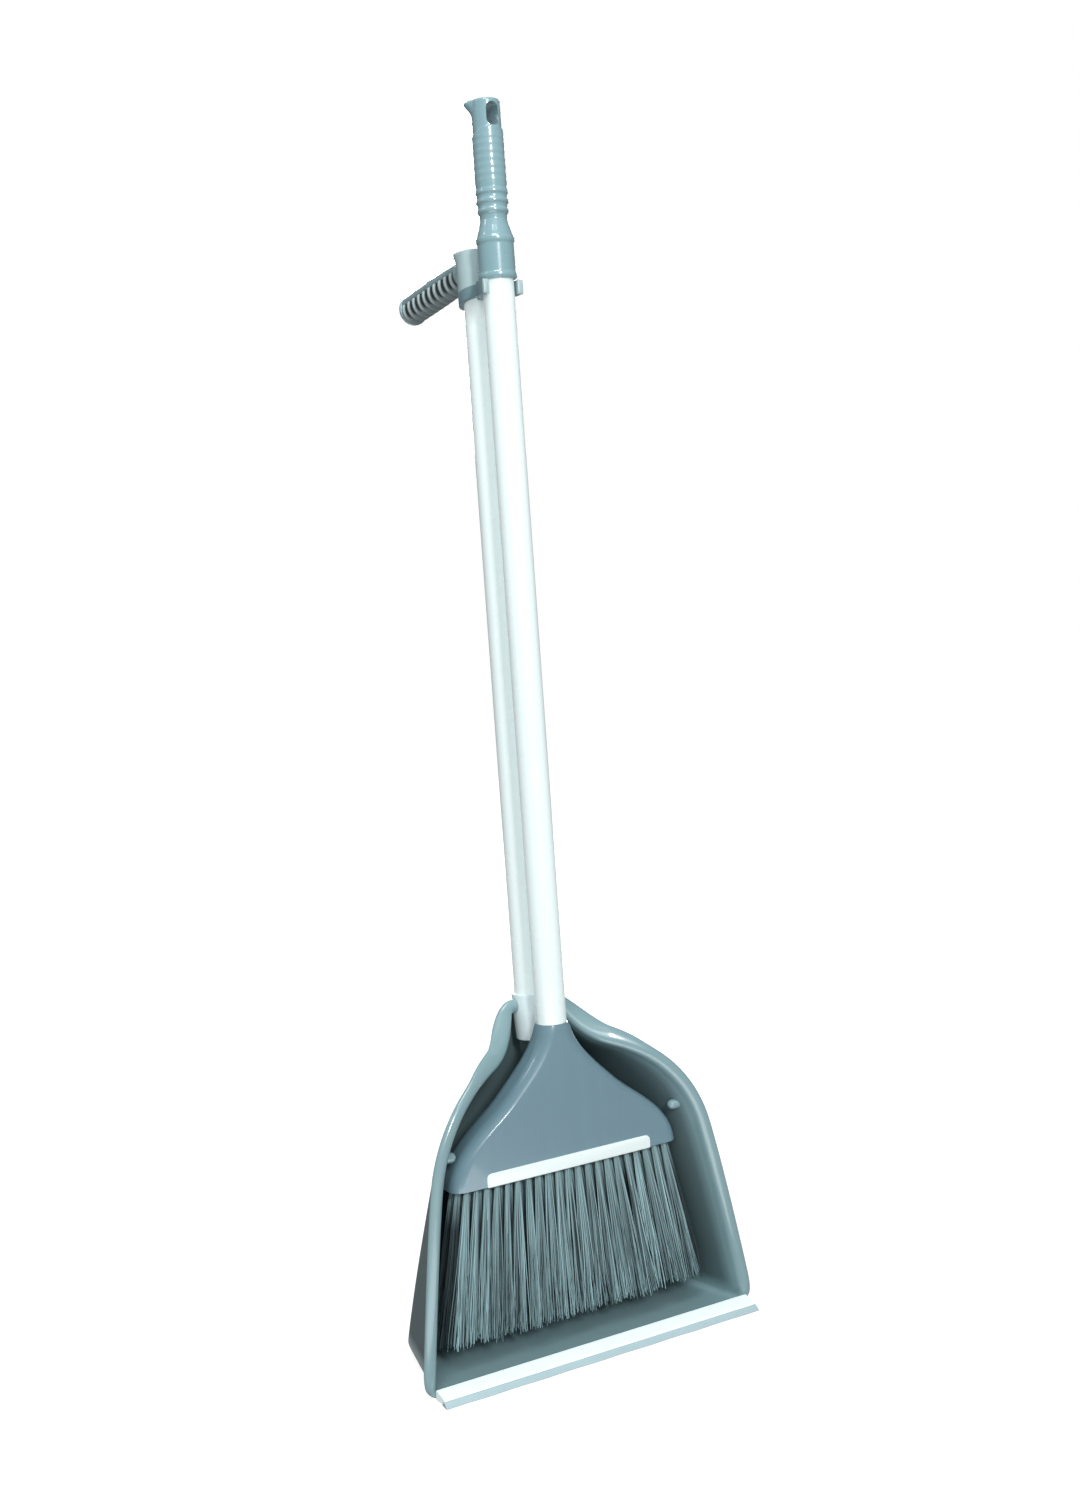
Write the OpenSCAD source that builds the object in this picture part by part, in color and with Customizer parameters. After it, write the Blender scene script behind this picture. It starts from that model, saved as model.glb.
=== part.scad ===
// Upright dust pan and broom set. The broom is clipped in front of the pan's handle.
// Origin: on the ground under the pan tube's axis. +Z up, the pan opens towards -Y.

/* [Tubes] */
// Outer diameter of both handle tubes
tube_d = 24; // [23.5:0.1:24.2]
// Wall of both handle tubes
tube_wall = 0.6; // [0.4:0.1:1]
// Distance between the two tube axes
axis_gap = 33; // [32.5:0.5:36]
// Height of the pan tube's top end
pan_tube_top = 845; // [700:5:845]
// Height of the clip's top face, which the broom's grip rests on
clip_top = 820; // [820:1:822]

/* [Pan] */
// Wall of the pan
pan_wall = 2.4; // [2:0.1:2.8]
// Radius of the corner between the back panel and the walls
pan_back_r = 10; // [8:1:14]
// Width of the soft lip
lip_w = 279; // [260:1:279]

/* [Broom head] */
// Height of the head's bottom edge
head_bottom = 139; // [136:1:142]
// Height of the head's neck, where the tube stands on it
head_top = 251; // [248:1:254]
// Depth of the head, front to back
head_depth = 30; // [30:1:34]
// Wall of the head shell
head_wall = 2.2; // [1.8:0.1:2.4]
// Width of the white strip along the head's front edge
strip_w = 146; // [120:1:160]

/* [Bristles] */
// Tufts in a full row
tufts = 22; // [16:1:22]
// Distance between tufts along a row
tuft_pitch = 8.8; // [8:0.1:8.8]
// Distance between rows at the block
row_pitch = 4.7; // [4.5:0.1:4.7]
// Height of the bristle tips
tip_z = 20; // [18:1:30]

/* [Grips] */
// Radius of the broom grip's sleeve
sleeve_r = 14; // [13.6:0.1:14.2]
// Length of the pan's ribbed grip
pan_grip_len = 108; // [90:1:112]
// Outer radius of the pan's ribbed grip
pan_grip_r = 11.8; // [11.4:0.1:12.2]
// Ribs on the pan's grip
ribs = 10; // [6:1:11]

/* [Hidden] */

$fn = 64;
tube_r = tube_d / 2;
bore_r = tube_r - tube_wall;
broom_y = -axis_gap;

pan_colour = [0.42, 0.53, 0.56];
light_grey = [0.72, 0.77, 0.77];
dark_grey = [0.33, 0.4, 0.43];
grip_blue = [0.5, 0.63, 0.67];
head_colour = [0.4, 0.49, 0.54];
white = [0.93, 0.97, 0.97];
bristle_colour = [0.46, 0.55, 0.56];

// Point on a cubic curve with four control points
function bez(p, t) = pow(1 - t, 3) * p[0] + 3 * t * pow(1 - t, 2) * p[1]
    + 3 * t * t * (1 - t) * p[2] + t * t * t * p[3];
function mix(a, b, t) = a + (b - a) * t;

// ---- Pan outlines, right half, from the floor's middle over the wall to the top's middle.
// Each stretch is a cubic: floor, corner, wall, shoulder, neck, top.
back_tilt = 0.05;
pan_depth = 95;
function on_back(x, z) = [x, 28 - back_tilt * z, z];
pan_back_net = [
    [on_back(0, 0), on_back(37, 0), on_back(74, 0), on_back(111, 0)],
    [on_back(111, 0), on_back(115.5, 0), on_back(119, 3.5), on_back(118.5, 8)],
    [on_back(118.5, 8), on_back(110.5, 50), on_back(98, 95), on_back(86, 139)],
    [on_back(86, 139), on_back(80, 161), on_back(60, 190), on_back(38, 215)],
    [on_back(38, 215), on_back(28, 227), on_back(21, 245), on_back(18, 259)],
    [on_back(18, 259), on_back(12, 259), on_back(6, 259), on_back(0, 259)]
];
pan_front_net = [
    [[0, -68, 0], [44, -68, 0], [88, -68, 0], [131, -68, 0]],
    [[131, -68, 0], [136, -68, 0], [139.4, -67.6, 3.5], [138.5, -67.2, 8]],
    [[138.5, -67.2, 8], [132.5, -65, 50], [123.5, -60, 112], [115.5, -57, 150]],
    [[115.5, -57, 150], [110, -55, 176], [93, -52, 210], [50, -31, 225]],
    [[50, -31, 225], [32, -21.55, 232.65], [26, -10, 248], [19, -1, 257]],
    [[19, -1, 257], [12, -1, 257], [6, -1, 257], [0, -1, 257]]
];
pan_steps = [3, 4, 7, 8, 7, 2];

// Half ring at depth v: 0 on the back panel, 1 at the front
function pan_half(v) = concat(
    [for (s = [0:5]) for (i = [0:pan_steps[s] - 1])
        bez([for (k = [0:3]) mix(pan_back_net[s][k], pan_front_net[s][k], v)], i / pan_steps[s])],
    [mix(pan_back_net[5][3], pan_front_net[5][3], v)]
);
// Outward direction in the XZ plane at point i of a half ring
function outward(ring, i) = i == 0 ? [0, 0, -1] : i == len(ring) - 1 ? [0, 0, 1]
    : let (d = ring[i + 1] - ring[i - 1], n = norm([d[0], d[2]])) [d[2] / n, 0, -d[0] / n];
function pan_span(i) = (pan_half(0)[i][1] - pan_half(1)[i][1]) / pan_depth;

// Stations of the pan's section, from the back panel's outside round the rim to its inside:
// [depth v, wall offset, share of the back corner radius, wall dy, floor offset, floor dy]
corner_v = pan_back_r / pan_depth;
inner_r = pan_back_r - pan_wall;
pan_stations = [
    [0, 0, -pan_back_r, 0, 0, 0],
    [corner_v * (1 - cos(30)), 0, -pan_back_r * (1 - sin(30)), 0, 0, 0],
    [corner_v * (1 - cos(60)), 0, -pan_back_r * (1 - sin(60)), 0, 0, 0],
    [corner_v, 0, 0, 0, 0, 0],
    [0.4, 0, 0, 0, 0, 0],
    [0.75, 0, 0, 0, 0, 0],
    [1, 0, 0, 2.5, 0, 2.5],
    [1, 0.3, 0, 0, 0, 1.5],
    [1, 1.7, 0, -1.9, 0, 0.5],
    [1, 4, 0, -2.6, 0, -0.5],
    [1, 6.8, 0, -2, 0, -1.5],
    [1, 8.8, 0, -0.6, 0, -2.5],
    [1, 9, 0, -2.6, -pan_wall, -2.5],
    [1, 7.5, 0, -4.4, -pan_wall, -1.5],
    [1, 4, 0, -5, -pan_wall, -0.5],
    [1, 0.6, 0, -4.2, -pan_wall, 0.5],
    [1, -1.6, 0, -2.2, -pan_wall, 1.5],
    [1, -pan_wall, 0, 1, -pan_wall, 2.5],
    [0.75, -pan_wall, 0, 0, -pan_wall, 0],
    [0.4, -pan_wall, 0, 0, -pan_wall, 0],
    [corner_v, -pan_wall, 0, 0, -pan_wall, 0],
    [corner_v * 0.5, -pan_wall, -inner_r * (1 - sin(60)), -pan_wall / 3, -pan_wall, -pan_wall / 3],
    [corner_v * 0.13, -pan_wall, -inner_r * 0.5, -pan_wall * 0.85, -pan_wall, -pan_wall * 0.85],
    [0, -pan_wall, -inner_r, -pan_wall, -pan_wall, -pan_wall]
];
floor_blend = 9;
// The rim's flange is wider and leans back round the neck
neck_z = 236;
neck_reach = 23;
neck_widen = 0.6;
neck_lean = 0.9;
function rim_extra(st, z) = max(0, st[1]) * neck_widen * max(0, 1 - pow((z - neck_z) / neck_reach, 2));
function pan_point(ring, i, st) =
    let (m = min(1, ring[i][2] / floor_blend), n = outward(ring, i), extra = rim_extra(st, ring[i][2]))
    ring[i] + n * (mix(st[4], st[1], m) + extra + st[2] * pan_span(i))
        + [0, mix(st[5], st[3], m) + neck_lean * extra, 0];
function pan_ring(st) =
    let (ring = pan_half(st[0]), last = len(ring) - 1,
        right = [for (i = [0:last]) pan_point(ring, i, st)])
    concat(right, [for (i = [last - 1:-1:1]) [-right[i][0], right[i][1], right[i][2]]]);

// Closed skin over rings of equal length, with a fan from a pole point at each end
module skin(rings, pole_a, pole_b) {
    n = len(rings[0]);
    m = len(rings);
    points = concat([for (r = rings) for (p = r) p], [pole_a, pole_b]);
    sides = [for (j = [0:m - 2]) for (i = [0:n - 1]) let (
        a = j * n + i, b = j * n + (i + 1) % n, c = a + n, d = b + n) for (f = [[a, c, d], [a, d, b]]) f];
    cap_a = [for (i = [0:n - 1]) [m * n, i, (i + 1) % n]];
    cap_b = [for (i = [0:n - 1]) [m * n + 1, (m - 1) * n + (i + 1) % n, (m - 1) * n + i]];
    polyhedron(points, concat(sides, cap_a, cap_b), convexity = 10);
}

// Section in the YZ plane carried along X, centred
module along_x(width) {
    rotate([90, 0, 90])
        linear_extrude(height = width, center = true)
            children();
}

// ---- Ferrule that joins the pan tube to the pan
ferrule_bottom = 233;
ferrule_top = 270;
ferrule_r = 14.5;
ferrule_tip_r = 13;
ferrule_floor = 4;
spigot_top = ferrule_top - 12;

// Nubs on the pan's side walls that steady the broom head
nub_x = 99.5;
nub_y = -43;
nub_z = 167;
nub_r = 4;
nub_len = 4;

// Front edge of the floor: a nose that slopes down into the lip
nose_back = -58;
nose_crest = -71;
nose_tip = -83;
nose_z = 5.2;

module pan_body() {
    pole_z = 110;
    color(pan_colour) difference() {
        union() {
            skin([for (st = pan_stations) pan_ring(st)], on_back(0, pole_z),
                on_back(0, pole_z) - [0, pan_wall, 0]);
            along_x(lip_w - 4)
                polygon([[nose_back, 0], [nose_crest, 0.6], [nose_tip, 1.4], [nose_tip, 3],
                    [nose_crest, nose_z], [nose_back, pan_wall]]);
            for (side = [-1, 1]) {
                translate([side * nub_x, nub_y, nub_z]) sphere(nub_r, $fn = 24);
                translate([side * nub_x, nub_y, nub_z])
                    rotate([0, side * 90, 0]) cylinder(h = nub_len, r = nub_r, $fn = 24);
            }
        }
        translate([0, 0, ferrule_bottom])
            cylinder(h = ferrule_top - ferrule_bottom + 2, r = ferrule_r + 0.05);
    }
}

// Soft strip: a channel over the nose, with a blade that reaches the ground in front
module lip_strip() {
    gap = 0.05;
    color(white) along_x(lip_w)
        polygon([
            [nose_crest, nose_z + gap], [nose_crest - 0.5, 7.6], [-87, 4.6], [-85.4, 3.4],
            [-90.5, 0.4], [-90.2, 0], [-88.5, 0], [-84, 0.6], [nose_crest, 0],
            [nose_crest, 0.6 - gap], [nose_tip - gap, 1.4 - gap], [nose_tip - gap, 3 + gap]
        ]);
}

module handle_ferrule() {
    color(light_grey) rotate_extrude()
        polygon([
            [0, ferrule_bottom], [ferrule_tip_r - 1, ferrule_bottom], [ferrule_tip_r, ferrule_bottom + 1],
            [ferrule_r, ferrule_top - 10], [ferrule_r, ferrule_top - 1], [ferrule_r - 0.8, ferrule_top],
            [tube_r, ferrule_top], [tube_r, ferrule_bottom + ferrule_floor],
            [bore_r, ferrule_bottom + ferrule_floor], [bore_r, spigot_top],
            [bore_r - 1.6, spigot_top], [bore_r - 1.6, ferrule_bottom + ferrule_floor],
            [0, ferrule_bottom + ferrule_floor]
        ]);
}

module tube(y, bottom, top) {
    color(white) translate([0, y, bottom]) rotate_extrude()
        polygon([[bore_r, 0], [tube_r, 0], [tube_r, top - bottom], [bore_r, top - bottom]]);
}
module pan_tube() {
    tube(0, ferrule_bottom + ferrule_floor, pan_tube_top);
}

// ---- Collar, clip and ribbed grip at the top of the pan tube
collar_r = 15.5;
collar_top = pan_tube_top + 3;
collar_flare = 18;
clip_h = 14;
arm_gap = 0.35;
arm_w = 4.6;
arm_front = broom_y - 8.5;
grip_drop = 5.3;
grip_z = 837;
root_s = 14;
spine_w = 2 * pan_grip_r + 2;
spine_z = 0.6;
core_r = 7;

module tube_top_plug() {
    plug_len = 18;
    color(dark_grey) translate([0, 0, pan_tube_top - plug_len]) rotate_extrude()
        polygon([[0, 0], [bore_r - 0.5, 0], [bore_r, 1], [bore_r, plug_len], [0, plug_len]]);
}

module grip_collar() {
    color(light_grey) difference() {
        union() {
            translate([0, 0, clip_top]) cylinder(h = collar_top - clip_top, r = collar_r);
            intersection() {
                translate([0, 0, collar_top - 12])
                    cylinder(h = 12, r1 = collar_r, r2 = collar_flare);
                translate([-collar_flare, 3, collar_top - 12])
                    cube([2 * collar_flare, collar_flare, 12]);
            }
        }
        translate([0, 0, clip_top - 1]) cylinder(h = pan_tube_top - clip_top + 1, r = tube_r);
    }
}

// Ring round the pan tube with two arms that hold the broom's tube between them
module broom_clip() {
    arm_x = tube_r + arm_gap;
    color(dark_grey) translate([0, 0, clip_top - clip_h]) difference() {
        union() {
            cylinder(h = clip_h, r = collar_r + 0.4);
            translate([-arm_x - arm_w, arm_front, 0])
                cube([2 * (arm_x + arm_w), -arm_front - 4, clip_h]);
        }
        translate([0, 0, -1]) cylinder(h = clip_h + 2, r = tube_r);
        translate([0, broom_y, -1]) cylinder(h = clip_h + 2, r = arm_x);
        translate([-arm_x, arm_front - 1, -1]) cube([2 * arm_x, broom_y - arm_front + 1, clip_h + 2]);
    }
}

// Local frame of the pan's grip: Z runs back along the grip, Y points down
module on_grip() {
    translate([0, 0, grip_z]) rotate([-90 - grip_drop, 0, 0]) children();
}
module spine_block(extra) {
    translate([-spine_w / 2 - extra, -pan_grip_r - 2, root_s + 6])
        cube([spine_w + 2 * extra, pan_grip_r + 2 - spine_z + extra, pan_grip_len - 10]);
}
module pan_grip_core() {
    color(grip_blue) difference() {
        on_grip() {
            cylinder(h = root_s + pan_grip_len - 4, r = core_r);
            translate([0, 0, 8]) cylinder(h = root_s - 2, r = pan_grip_r - 0.5);
            intersection() {
                translate([0, 0, root_s]) cylinder(h = pan_grip_len, r = pan_grip_r + 0.4);
                spine_block(0);
            }
        }
        cylinder(h = collar_top + 1, r = collar_r);
        cylinder(h = clip_top, r = collar_r + 0.4);
        translate([0, 0, collar_top - 12]) cylinder(h = 12, r1 = collar_r, r2 = collar_flare);
    }
}
module pan_grip_sleeve() {
    first = root_s + 6;
    length = pan_grip_len - 10;
    pitch = length / ribs;
    rib_depth = 2.2;
    color(dark_grey) on_grip() difference() {
        rotate_extrude()
            polygon(concat([[core_r, first + length], [core_r, first]],
                [for (i = [0:ribs - 1]) for (p = [[0, 0], [1, 0.2], [1, 0.62], [0, 0.8]])
                    [pan_grip_r - rib_depth * (1 - p[0]), first + (i + p[1]) * pitch]],
                [[pan_grip_r - rib_depth, first + length]]));
        spine_block(0.05);
    }
}
module pan_grip_end_cap() {
    start = root_s + pan_grip_len - 4;
    color(grip_blue) on_grip() rotate_extrude()
        polygon([[0, start], [pan_grip_r + 0.6, start], [pan_grip_r + 0.8, start + 2],
            [pan_grip_r + 0.2, start + 5], [pan_grip_r - 3, start + 8], [0, start + 9.5]]);
}

// ---- Broom head: a hollow bell over the bristle block
head_y = broom_y;
head_neck_curve = [[13, head_top], [15, head_top - 19], [33, head_top - 35], [49, head_top - 51]];
head_side_curve = [[49, head_top - 51], [66, head_top - 68], [99, head_bottom + 29], [101, head_bottom]];
neck_steps = 6;
side_steps = 7;
bell = concat([for (i = [0:neck_steps - 1]) bez(head_neck_curve, i / neck_steps)],
    [for (i = [0:side_steps]) bez(head_side_curve, i / side_steps)]);
corner_r = 11;
corner_pts = 7;
cavity_top = 3;
socket_r = 9;
socket_bottom = 229;
block_h = 9.5;
block_bottom = head_bottom + 1;
block_w = 96.2;
tuft_r = 2.1;
hole_depth = 8;
staple_t = 0.35;
spread_x = 1.22;
spread_y = 1.5;

function head_half_depth(z) = head_depth / 2
    - (head_depth / 2 - 13) * pow(max(0, (z - 205) / (head_top - 205)), 2);
// Rounded rectangle of half width a and half depth b at height z
function head_ring(a, b, z) = let (r = min(corner_r, b - 0.4, a - 0.4))
    [for (q = [0:3]) for (k = [0:corner_pts - 1]) let (
        ang = 90 * q + 90 * k / (corner_pts - 1),
        sx = (q == 0 || q == 3) ? 1 : -1, sy = q < 2 ? 1 : -1)
        [sx * (a - r) + r * cos(ang), head_y + sy * (b - r) + r * sin(ang), z]];

module broom_head() {
    outer = [for (p = bell) head_ring(p[0], head_half_depth(p[1]), p[1])];
    inner = [for (i = [len(bell) - 1:-1:cavity_top])
        head_ring(bell[i][0] - head_wall, head_half_depth(bell[i][1]) - head_wall, bell[i][1])];
    color(head_colour) difference() {
        skin(concat(outer, inner), [0, head_y, head_top], [0, head_y, bell[cavity_top][1]]);
        translate([0, head_y, socket_bottom])
            cylinder(h = head_top - socket_bottom + 2, r = socket_r);
    }
}

// Places of the tufts in one row; odd rows hold one less and are set half a pitch over
function row_y(row) = head_y + (row - 3) * row_pitch;
function row_count(row) = tufts - (row % 2 == 1 ? 1 : 0);
function tuft_x(row, i) = (i - (row_count(row) - 1) / 2) * tuft_pitch;

// Local frame of one tuft: origin at the block's underside, +Z down along the bristles.
// The holes lean outwards, so the tufts spread towards their tips.
module on_tuft(row, i) {
    x = tuft_x(row, i);
    y = row_y(row);
    run = [x * (spread_x - 1), (y - head_y) * (spread_y - 1), tip_z - block_bottom];
    translate([x, y, block_bottom])
        rotate([0, acos(run[2] / norm(run)), atan2(run[1], run[0])])
            children();
}

module bristle_block() {
    half_depth = head_depth / 2 - head_wall - 0.2;
    color(dark_grey) difference() {
        translate([0, 0, block_bottom]) linear_extrude(height = block_h)
            polygon([for (p = head_ring(block_w, half_depth, 0)) [p[0], p[1]]]);
        for (row = [1:5]) for (i = [0:row_count(row) - 1])
            on_tuft(row, i) translate([0, 0, -hole_depth])
                cylinder(h = hole_depth + 2, r = tuft_r, $fn = 16);
    }
}

// One row: each tuft fills its hole up to the staple and flares towards the tips
module tuft_row(row) {
    tip_r = 3.7;
    flare_from = 1.2;
    length = block_bottom - tip_z;
    color(bristle_colour) for (i = [0:row_count(row) - 1]) on_tuft(row, i)
        rotate_extrude($fn = 16)
            polygon([[0, staple_t - hole_depth], [tuft_r, staple_t - hole_depth],
                [tuft_r, flare_from], [tip_r, length], [0, length]]);
}
module tuft_row_1() { tuft_row(1); }
module tuft_row_2() { tuft_row(2); }
module tuft_row_3() { tuft_row(3); }
module tuft_row_4() { tuft_row(4); }
module tuft_row_5() { tuft_row(5); }

// Flat wire anchors, one at the closed end of every tuft hole
module tuft_staples() {
    wire_w = 3.4;
    wire_h = 1.6;
    color("silver") for (row = [1:5]) for (i = [0:row_count(row) - 1])
        on_tuft(row, i) translate([-wire_w / 2, -wire_h / 2, -hole_depth])
            cube([wire_w, wire_h, staple_t]);
}

// Strip along the front panel's lower edge, with round upper corners
module edge_strip() {
    strip_h = 10.5;
    strip_t = 1.3;
    strip_r = 5;
    color(white) translate([0, head_y - head_depth / 2, head_bottom]) rotate([90, 0, 0])
        linear_extrude(height = strip_t) {
            for (side = [-1, 1])
                translate([side * (strip_w / 2 - strip_r), strip_h - strip_r]) circle(strip_r);
            translate([-strip_w / 2, 0]) square([strip_w, strip_h - strip_r]);
            translate([strip_r - strip_w / 2, 0]) square([strip_w - 2 * strip_r, strip_h]);
        }
}

// ---- Broom handle
broom_tube_top = 850;

module thread_plug() {
    thread_pitch = 4;
    threads = 4;
    crest = 0.8;
    plug_top = 34;
    start = socket_bottom + 2;
    color(dark_grey) translate([0, broom_y, 0]) rotate_extrude()
        polygon(concat([[0, head_top + plug_top], [0, start], [socket_r - crest, start]],
            [for (i = [0:threads - 1]) for (p = [[crest, 0.25], [0, 0.5], [0, 0.75], [crest, 1]])
                [socket_r - p[0], start + 1 + (i + p[1]) * thread_pitch]],
            [[socket_r, head_top], [bore_r, head_top], [bore_r, head_top + plug_top]]));
}
module broom_tube() {
    tube(broom_y, head_top, broom_tube_top);
}

// Moulded grip: sleeve over the tube, waist with rings, shaft and a hanging hole
module broom_grip() {
    grip_top = 952;
    hole_z = 940.5;
    hole_w = 10;
    hole_h = 17.5;
    flare_r = 17;
    cavity_r = 6.5;
    color(grip_blue) translate([0, broom_y, 0]) difference() {
        union() {
            rotate_extrude()
                polygon([
                    [tube_r, clip_top + 0.3], [sleeve_r, clip_top + 0.3], [sleeve_r + 0.7, clip_top + 1.5],
                    [sleeve_r + 0.7, clip_top + 3.5], [sleeve_r, clip_top + 5], [sleeve_r, 847],
                    [sleeve_r + 0.6, 849], [sleeve_r + 0.6, 851], [sleeve_r - 0.4, 853], [11.2, 860],
                    [10.2, 864], [10.4, 868], [11.9, 871], [11.2, 874], [12.1, 877.5], [11.4, 881],
                    [12.2, 884], [11.6, 887], [12, 893], [11.8, 932], [11, 932], [11, grip_top - 1],
                    [10, grip_top], [0, grip_top], [0, 925], [cavity_r, 925], [cavity_r, broom_tube_top],
                    [tube_r, broom_tube_top]
                ]);
            intersection() {
                translate([0, 0, 936]) cylinder(h = grip_top - 936, r1 = 11, r2 = flare_r);
                translate([-flare_r, 1.5, 936]) cube([2 * flare_r, flare_r, grip_top - 936]);
            }
        }
        for (end = [-1, 1])
            translate([0, 0, hole_z + end * (hole_h - hole_w) / 2])
                rotate([90, 0, 0]) cylinder(h = 50, r = hole_w / 2, center = true);
        translate([-hole_w / 2, -25, hole_z - (hole_h - hole_w) / 2])
            cube([hole_w, 50, hole_h - hole_w]);
    }
}

pan_body();
lip_strip();
handle_ferrule();
pan_tube();
tube_top_plug();
grip_collar();
broom_clip();
pan_grip_core();
pan_grip_sleeve();
pan_grip_end_cap();
broom_head();
bristle_block();
edge_strip();
thread_plug();
broom_tube();
broom_grip();
tuft_staples();
tuft_row_1();
tuft_row_2();
tuft_row_3();
tuft_row_4();
tuft_row_5();
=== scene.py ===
import bpy, bmesh, math
import numpy as np
from mathutils import Matrix, Vector


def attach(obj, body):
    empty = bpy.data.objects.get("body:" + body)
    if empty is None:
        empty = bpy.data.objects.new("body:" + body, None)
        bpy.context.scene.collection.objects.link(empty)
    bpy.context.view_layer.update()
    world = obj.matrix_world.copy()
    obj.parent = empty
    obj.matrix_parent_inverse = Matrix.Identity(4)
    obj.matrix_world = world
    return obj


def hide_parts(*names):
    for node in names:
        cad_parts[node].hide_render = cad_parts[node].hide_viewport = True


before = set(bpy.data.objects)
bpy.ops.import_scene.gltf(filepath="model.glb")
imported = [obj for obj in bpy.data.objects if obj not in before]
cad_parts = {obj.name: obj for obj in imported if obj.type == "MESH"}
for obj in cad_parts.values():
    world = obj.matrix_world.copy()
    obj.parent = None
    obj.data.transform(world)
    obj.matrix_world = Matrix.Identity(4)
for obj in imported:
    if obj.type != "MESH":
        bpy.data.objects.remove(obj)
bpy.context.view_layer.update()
mm = 0.001
twoPi = 2 * math.pi


# Numpy helpers

# Corners of a line are rounded: corner c becomes (1-t)^2 a + 2t(1-t) c + t^2 b,
# where a and b lie on the two sides, a given distance from c.
def roundedLine(corners, radius, steps=4, closed=False):
    c = np.asarray(corners, float)
    before = np.roll(c, 1, axis=0) - c
    after = np.roll(c, -1, axis=0) - c
    lenBefore = np.linalg.norm(before, axis=1, keepdims=True)
    lenAfter = np.linalg.norm(after, axis=1, keepdims=True)
    reach = np.minimum(np.broadcast_to(np.reshape(radius, (-1, 1)), lenBefore.shape),
                       0.45 * np.minimum(lenBefore, lenAfter))
    a = c + before / lenBefore * reach
    b = c + after / lenAfter * reach
    t = np.linspace(0, 1, steps + 1)[None, :, None]
    arcs = (1 - t) ** 2 * a[:, None] + 2 * t * (1 - t) * c[:, None] + t ** 2 * b[:, None]
    if closed:
        return arcs.reshape(-1, c.shape[1])
    return np.concatenate([c[:1], arcs[1:-1].reshape(-1, c.shape[1]), c[-1:]])


# A cubic curve with four control points: the sum of the Bernstein weights times the points.
def cubic(points, t):
    p = np.asarray(points, float)
    t = np.asarray(t, float)[:, None]
    return (1 - t) ** 3 * p[0] + 3 * t * (1 - t) ** 2 * p[1] + 3 * t * t * (1 - t) * p[2] + t ** 3 * p[3]


# 0 below low, 1 above high, and t^2 (3 - 2t) between them, with t the share of the way.
def smoothStep(low, high, x):
    t = np.clip((x - low) / (high - low), 0, 1)
    return t * t * (3 - 2 * t)


# Quads of a grid: cell (i, j) joins points (i, j), (i, j+1), (i+1, j+1) and (i+1, j), point (i, j)
# having the number i * columns + j. Columns always close into a ring, rows only if closeRows.
def gridFaces(rows, columns, closeRows):
    i = np.arange(rows if closeRows else rows - 1)[:, None]
    j = np.arange(columns)[None, :]
    a = i * columns + j
    b = i * columns + (j + 1) % columns
    c = ((i + 1) % rows) * columns + (j + 1) % columns
    d = ((i + 1) % rows) * columns + j
    return np.stack([a, b, c, d], axis=-1).reshape(-1, 4)


# Grids of points (rows, columns, 3) in millimetres to one mesh. Open grids get a fan of triangles
# round the mean of their first and of their last row.
def gridPiece(name, grids, closeRows=False):
    verts, quads, tris, base = [], [], [], 0
    for grid in grids:
        grid = np.asarray(grid, float)
        rows, columns = grid.shape[:2]
        verts.append(grid.reshape(-1, 3))
        quads.append(gridFaces(rows, columns, closeRows) + base)
        if not closeRows:
            verts.append(np.stack([grid[0].mean(axis=0), grid[-1].mean(axis=0)]))
            j = np.arange(columns)
            first, last = base + rows * columns, base + rows * columns + 1
            end = base + (rows - 1) * columns
            tris.append(np.stack([np.full(columns, first), base + (j + 1) % columns, base + j], axis=1))
            tris.append(np.stack([np.full(columns, last), end + j, end + (j + 1) % columns], axis=1))
            base += 2
        base += rows * columns
    return meshPiece(name, np.concatenate(verts) * mm, quads, tris)


# Points in metres and faces to a mesh object: a face's loops start at the sum of the sizes before it.
def meshPiece(name, verts, quads, tris):
    loops = np.concatenate([q.reshape(-1) for q in quads] + [t.reshape(-1) for t in tris])
    sizes = np.concatenate([np.full(len(q), 4) for q in quads] + [np.full(len(t), 3) for t in tris])
    mesh = bpy.data.meshes.new(name)
    mesh.vertices.add(len(verts))
    mesh.vertices.foreach_set("co", verts.astype(np.float32).ravel())
    mesh.loops.add(len(loops))
    mesh.loops.foreach_set("vertex_index", loops.astype(np.int32))
    mesh.polygons.add(len(sizes))
    mesh.polygons.foreach_set("loop_start", (np.cumsum(sizes) - sizes).astype(np.int32))
    mesh.polygons.foreach_set("loop_total", sizes.astype(np.int32))
    mesh.update(calc_edges=True)
    mesh.validate()
    piece = bpy.data.objects.new(name, mesh)
    bpy.context.collection.objects.link(piece)
    return piece


# Turns every closed shell's faces outwards.
def faceOutwards(piece):
    shell = bmesh.new()
    shell.from_mesh(piece.data)
    bmesh.ops.recalc_face_normals(shell, faces=shell.faces)
    shell.to_mesh(piece.data)
    shell.free()


# Replaces a piece's mesh by the result of its modifiers.
def applyModifiers(piece):
    graph = bpy.context.evaluated_depsgraph_get()
    result = bpy.data.meshes.new_from_object(piece.evaluated_get(graph))
    piece.modifiers.clear()
    piece.data = result


def subdivide(piece, levels):
    smooth = piece.modifiers.new("smooth", "SUBSURF")
    smooth.levels = smooth.render_levels = levels
    applyModifiers(piece)


def cutAway(piece, cutter):
    cut = piece.modifiers.new("cut", "BOOLEAN")
    cut.object = cutter
    cut.operation = "DIFFERENCE"
    cut.solver = "EXACT"
    applyModifiers(piece)
    bpy.data.objects.remove(cutter, do_unlink=True)


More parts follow.
